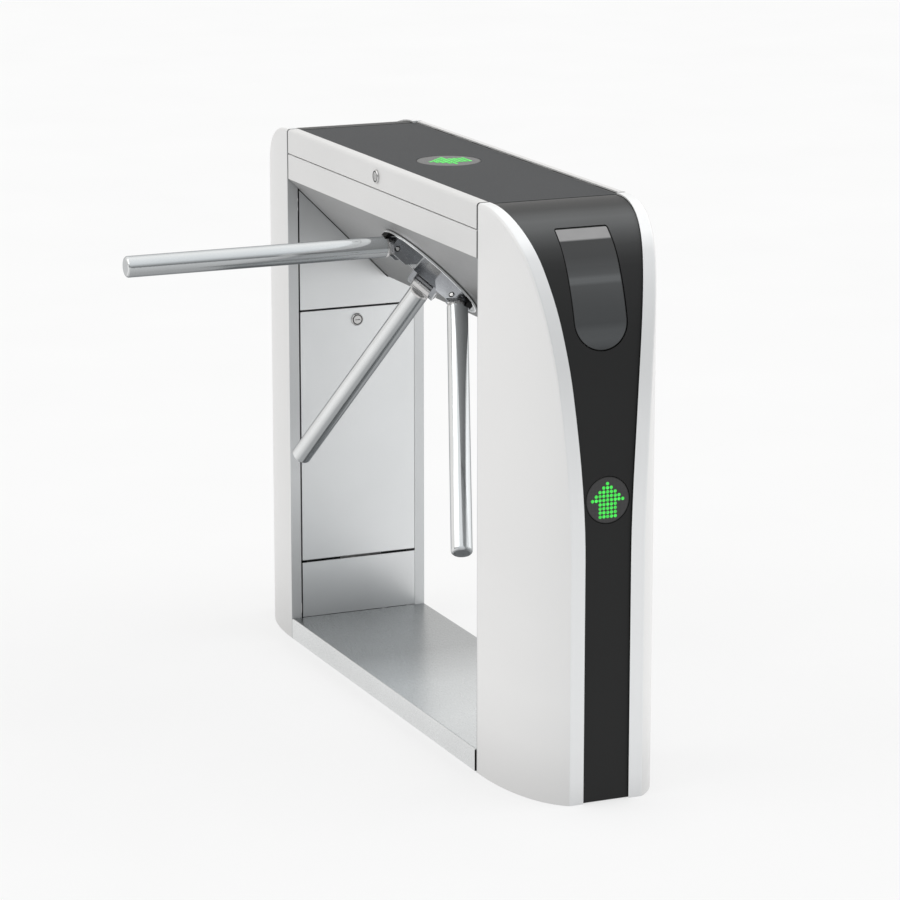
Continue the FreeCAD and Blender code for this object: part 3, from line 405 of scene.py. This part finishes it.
def lens_finish(name, lo, hi, tint, rim, spec, height=None):
    """Smoked indicator cover with a faint grid of unlit lamps behind it and painted shade in the gap at its rim."""
    m, nt, b = blank(name)
    v = nt.nodes.new("ShaderNodeTexVoronoi")
    v.inputs["Scale"].default_value = 150.0
    v.inputs["Randomness"].default_value = 0.0
    nt.links.new(coords(nt), v.inputs["Vector"])
    col = ramp(nt, v.outputs["Distance"], [(0.20, grey(hi, tint)), (0.60, grey(lo, tint))])
    # painted shade in the gap around the rim of the cover
    if height:
        out = distance_from(nt, axis_of(nt, "Y"), math_node(nt, "SUBTRACT", axis_of(nt, "Z"), height))
    else:
        out = distance_from(nt, axis_of(nt, "X"), axis_of(nt, "Y"))
    col = blend(nt, spread(nt, out, 0.0, 1.0, rim, rim + 0.0004), col, mottle(nt, 30.0, 0.008, 0.011, COOL))
    nt.links.new(col, b.inputs["Base Color"])
    fine = noise(nt, coords(nt), 1200.0, 2.0)
    nt.links.new(spread(nt, fine, 0.26, 0.34), b.inputs["Roughness"])
    bump(nt, b, fine, 0.03, 0.0001)
    b.inputs["Specular IOR Level"].default_value = spec
    return m


def lamp_finish():
    """Lit green lamps, each a little different."""
    m, nt, b = blank("lamp_green")
    f = noise(nt, coords(nt), 160.0, 1.0)
    nt.links.new(ramp(nt, f, [(0.3, (0.045, 0.72, 0.060)), (0.7, (0.06, 0.95, 0.090))]),
                 b.inputs["Emission Color"])
    nt.links.new(spread(nt, f, 0.76, 0.95), b.inputs["Emission Strength"])
    nt.links.new(ramp(nt, f, [(0.3, (0.01, 0.10, 0.015)), (0.7, (0.02, 0.16, 0.03))]),
                 b.inputs["Base Color"])
    b.inputs["Roughness"].default_value = 0.35
    return m


M["window"] = window_finish()
M["lens"] = lens_finish("dark_lens", 0.031, 0.038, (1.0, 0.97, 1.0), 0.0380, 0.4, 0.5265)
M["lens_top"] = lens_finish("dark_lens_top", 0.040, 0.055, (0.96, 1.0, 1.03), 0.0545, 0.22)
M["lamp"] = lamp_finish()

FINISH = [
    ("cheek_", "cheek"), ("base_bridge", "base"), ("beam_shell", "sheet"), ("lid_shell", "sheet"),
    ("inner_panels", "panel"), ("service_door", "door"),
    ("end_band", "band"), ("lid_top_panel", "top"), ("lid_hinge", "hinge"),
    ("reader_windows", "window"), ("end_indicator_lenses", "lens"), ("lid_indicator_lens", "lens_top"),
    ("arm_tube", "arm"), ("arm_cap", "arm"), ("arm_knuckle", "forged"),
    ("hub_disc", "hub"), ("arm_brackets", "bracket"), ("arm_stop_blocks", "black"),
    ("arm_pivot_pins", "pin"), ("hub_screws", "black"),
    ("lid_lock", "lock_lid"), ("door_lock", "lock_door"),
    ("column_frame", "frame"), ("motor_bracket", "frame"),
    ("bearing_housing", "frame"), ("gear_motor", "motor"), ("lock_solenoid", "motor"),
    ("card_readers", "motor"), ("power_supply", "supply"),
    ("control_board", "board"), ("indicator_boards", "board"), ("lid_indicator_board", "board"),
]
for name, o in nodes.items():
    key = next((k for p, k in FINISH if name.startswith(p)), "machine")
    o.data.materials.clear()
    o.data.materials.append(M[key])


# ---------------------------------------------------------------- indicator lamps
ROWS = [(1, 0), (3, 1), (5, 2), (7, 3), (9, 4), (5, 5), (5, 6), (5, 7), (5, 8)]


def tree_of(name):
    o = nodes[name]
    return BVHTree.FromPolygons([v.co.copy() for v in o.data.vertices],
                                [tuple(p.vertices) for p in o.data.polygons])


def lamp_dome(bm, at, normal, r):
    """One low dome standing on the cover, its foot sunk a little into it."""
    z = normal.normalized()
    x = z.orthogonal().normalized()
    y = z.cross(x)
    seg = 14
    rings = []
    for rr, h in ((1.0, -0.0001), (1.0, 0.0001), (0.92, 0.00032), (0.72, 0.0005), (0.40, 0.0006)):
        rings.append([bm.verts.new(at + z * h + (x * math.cos(t) + y * math.sin(t)) * r * rr)
                      for t in (2 * math.pi * k / seg for k in range(seg))])
    tip = bm.verts.new(at + z * 0.00064)
    foot = bm.verts.new(at - z * 0.0001)
    for a, b in zip(rings, rings[1:]):
        for k in range(seg):
            bm.faces.new((a[k], a[(k + 1) % seg], b[(k + 1) % seg], b[k]))
    for k in range(seg):
        bm.faces.new((rings[-1][k], rings[-1][(k + 1) % seg], tip))
        bm.faces.new((rings[0][(k + 1) % seg], rings[0][k], foot))


def arrow(name, body, cover, place, cast, pitch, r):
    tree = tree_of(cover)
    bm = bmesh.new()
    for count, line in ROWS:
        for k in range(count):
            u = (k - (count - 1) / 2) * pitch
            v = (4 - line) * pitch
            hit, nrm, _, _ = tree.ray_cast(place(u, v), cast)
            if hit is None:
                continue
            if nrm.dot(cast) > 0:
                nrm = -nrm
            lamp_dome(bm, hit, nrm, r)
    me = bpy.data.meshes.new(name)
    bm.to_mesh(me)
    bm.free()
    for p in me.polygons:
        p.use_smooth = True
    me.materials.append(M["lamp"])
    o = bpy.data.objects.new(name, me)
    scene.collection.objects.link(o)
    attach(o, body)
    return o


LENS_Z = 526.5 * MM
for side, tag in ((1, "near"), (-1, "far")):
    arrow("arrow_lamps_" + tag, "frame", "end_indicator_lenses",
          lambda u, v, s=side: Vector((s * 0.9, u, LENS_Z + v)), Vector((-side, 0, 0)),
          7.0 * MM, 2.95 * MM)
arrow("arrow_lamps_top", "lid", "lid_indicator_lens",
      lambda u, v: Vector((u, -v, 1.2)), Vector((0, 0, -1)), 8.7 * MM, 3.6 * MM)


# ---------------------------------------------------------------- dark rings of painted shade around the arm pins
def pin_shade_rings():
    """A flat black ring of painted shade on each end of the three arm pins, split at one side."""
    origin = Vector((0.0, -34.0, 802.0)) * MM
    frame_rot = Matrix.Rotation(math.radians(135), 3, "X")
    bm = bmesh.new()
    for turn in (0, 120, 240):
        rot = frame_rot @ Matrix.Rotation(math.radians(turn), 3, "Z")
        for s in (-1, 1):
            rings = []
            for r, h in ((3.36, 0.02), (3.36, 0.5), (5.0, 0.5), (5.2, 0.35), (5.2, 0.02)):
                ring = []
                for k in range(29):
                    t = math.radians(20 + 320 * k / 28.0)
                    q = Vector((s * (28.5 + h), 89.8 + r * math.cos(t), 20.5 + r * math.sin(t))) * MM
                    ring.append(bm.verts.new(origin + rot @ q))
                rings.append(ring)
            n = len(rings)
            for i in range(n):
                a, b = rings[i], rings[(i + 1) % n]
                for k in range(28):
                    bm.faces.new((a[k], a[k + 1], b[k + 1], b[k]))
            for k in (0, 28):
                bm.faces.new([r[k] for r in rings])
    bmesh.ops.recalc_face_normals(bm, faces=bm.faces)
    me = bpy.data.meshes.new("pin_shade_rings")
    bm.to_mesh(me)
    bm.free()
    me.materials.append(M["black"])
    o = bpy.data.objects.new("pin_shade_rings", me)
    scene.collection.objects.link(o)
    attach(o, "hub")
    return o


pin_shade_rings()


# ---------------------------------------------------------------- studio
def floor_finish():
    """Pale floor, with painted shade where it lies hidden under the two pedestals."""
    m, nt, b = blank("studio_floor")
    x, y = axis_of(nt, "X", True), axis_of(nt, "Y", True)
    # painted shade under the pedestals: dark and without glow there
    hidden = math_node(nt, "MULTIPLY", spread(nt, x, 0.0, 1.0, 0.450, 0.452), spread(nt, x, 1.0, 0.0, 0.598, 0.600))
    hidden = math_node(nt, "MULTIPLY", hidden, spread(nt, y, 1.0, 0.0, 0.098, 0.100))
    pale = ramp(nt, noise(nt, coords(nt), 2.0, 2.0), [(0.3, grey(0.30)), (0.7, grey(0.31))])
    nt.links.new(blend(nt, hidden, pale, mottle(nt, 2.0, 0.010, 0.012, COOL)), b.inputs["Base Color"])
    b.inputs["Roughness"].default_value = 0.9
    b.inputs["Specular IOR Level"].default_value = 0.0
    b.inputs["Emission Color"].default_value = (1.0, 1.0, 1.0, 1.0)
    nt.links.new(spread(nt, hidden, 0.617, 0.0, 0.0, 1.0), b.inputs["Emission Strength"])
    return m


me = bpy.data.meshes.new("floor")
S = 60.0
me.from_pydata([(-S, -S, -0.0003), (S, -S, -0.0003), (S, S, -0.0003), (-S, S, -0.0003)], [], [(0, 1, 2, 3)])
me.materials.append(floor_finish())
floor = bpy.data.objects.new("floor", me)
scene.collection.objects.link(floor)

world = bpy.data.worlds.new("studio")
scene.world = world
world.use_nodes = True
nt = world.node_tree
nt.nodes.clear()
out = nt.nodes.new("ShaderNodeOutputWorld")
bg = nt.nodes.new("ShaderNodeBackground")
tc = nt.nodes.new("ShaderNodeTexCoord")
sep = nt.nodes.new("ShaderNodeSeparateXYZ")
nt.links.new(tc.outputs["Generated"], sep.inputs["Vector"])
front = ramp(nt, sep.outputs["Z"], [(0.0, grey(0.26)), (0.08, grey(0.30)), (0.26, grey(0.66)),
                                    (0.50, grey(1.0)), (1.0, grey(1.05))])
back = ramp(nt, sep.outputs["Z"], [(0.0, grey(1.0)), (1.0, grey(1.05))])
dot = nt.nodes.new("ShaderNodeVectorMath")
dot.operation = "DOT_PRODUCT"
dot.inputs[1].default_value = (-0.89, 0.39, 0.0)
nt.links.new(tc.outputs["Generated"], dot.inputs[0])
side = spread(nt, dot.outputs["Value"], 0.0, 1.0, -0.2, 0.5)
both = nt.nodes.new("ShaderNodeMix")
both.data_type = "RGBA"
nt.links.new(side, both.inputs["Factor"])
nt.links.new(front, both.inputs["A"])
nt.links.new(back, both.inputs["B"])
tint = ramp(nt, spread(nt, sep.outputs["X"], 0.0, 1.0, -1.0, 1.0),
            [(0.35, (1.0, 0.99, 0.975)), (0.85, (0.965, 0.985, 1.0))])
mul = nt.nodes.new("ShaderNodeMix")
mul.data_type = "RGBA"
mul.blend_type = "MULTIPLY"
mul.inputs["Factor"].default_value = 1.0
nt.links.new(both.outputs["Result"], mul.inputs["A"])
nt.links.new(tint, mul.inputs["B"])
nt.links.new(mul.outputs["Result"], bg.inputs["Color"])
bg.inputs["Strength"].default_value = 0.95
nt.links.new(bg.outputs["Background"], out.inputs["Surface"])


def sun(name, direction, strength, angle):
    d = bpy.data.lights.new(name, "SUN")
    d.energy = strength
    d.angle = math.radians(angle)
    o = bpy.data.objects.new(name, d)
    scene.collection.objects.link(o)
    o.rotation_mode = "QUATERNION"
    o.rotation_quaternion = Vector(direction).to_track_quat("-Z", "Y")
    return o


sun("key_light", (0.10, 0.75, -0.65), 0.5, 50)
sun("edge_light", (-0.22, -0.92, -0.32), 0.9, 90)

scene.view_settings.view_transform = "Standard"

# ---------------------------------------------------------------- camera
cd = bpy.data.cameras.new("camera")
cd.sensor_width = 36.0
cd.lens = 147.2987
cd.clip_end = 200.0
cam = bpy.data.objects.new("camera", cd)
scene.collection.objects.link(cam)
cam.location = (6.01185, -2.60412, 2.05559)
aim = Vector((0.0059328, 0.0, 0.4651253)) - cam.location
cam.rotation_mode = "QUATERNION"
cam.rotation_quaternion = aim.to_track_quat("-Z", "Y")
scene.camera = cam
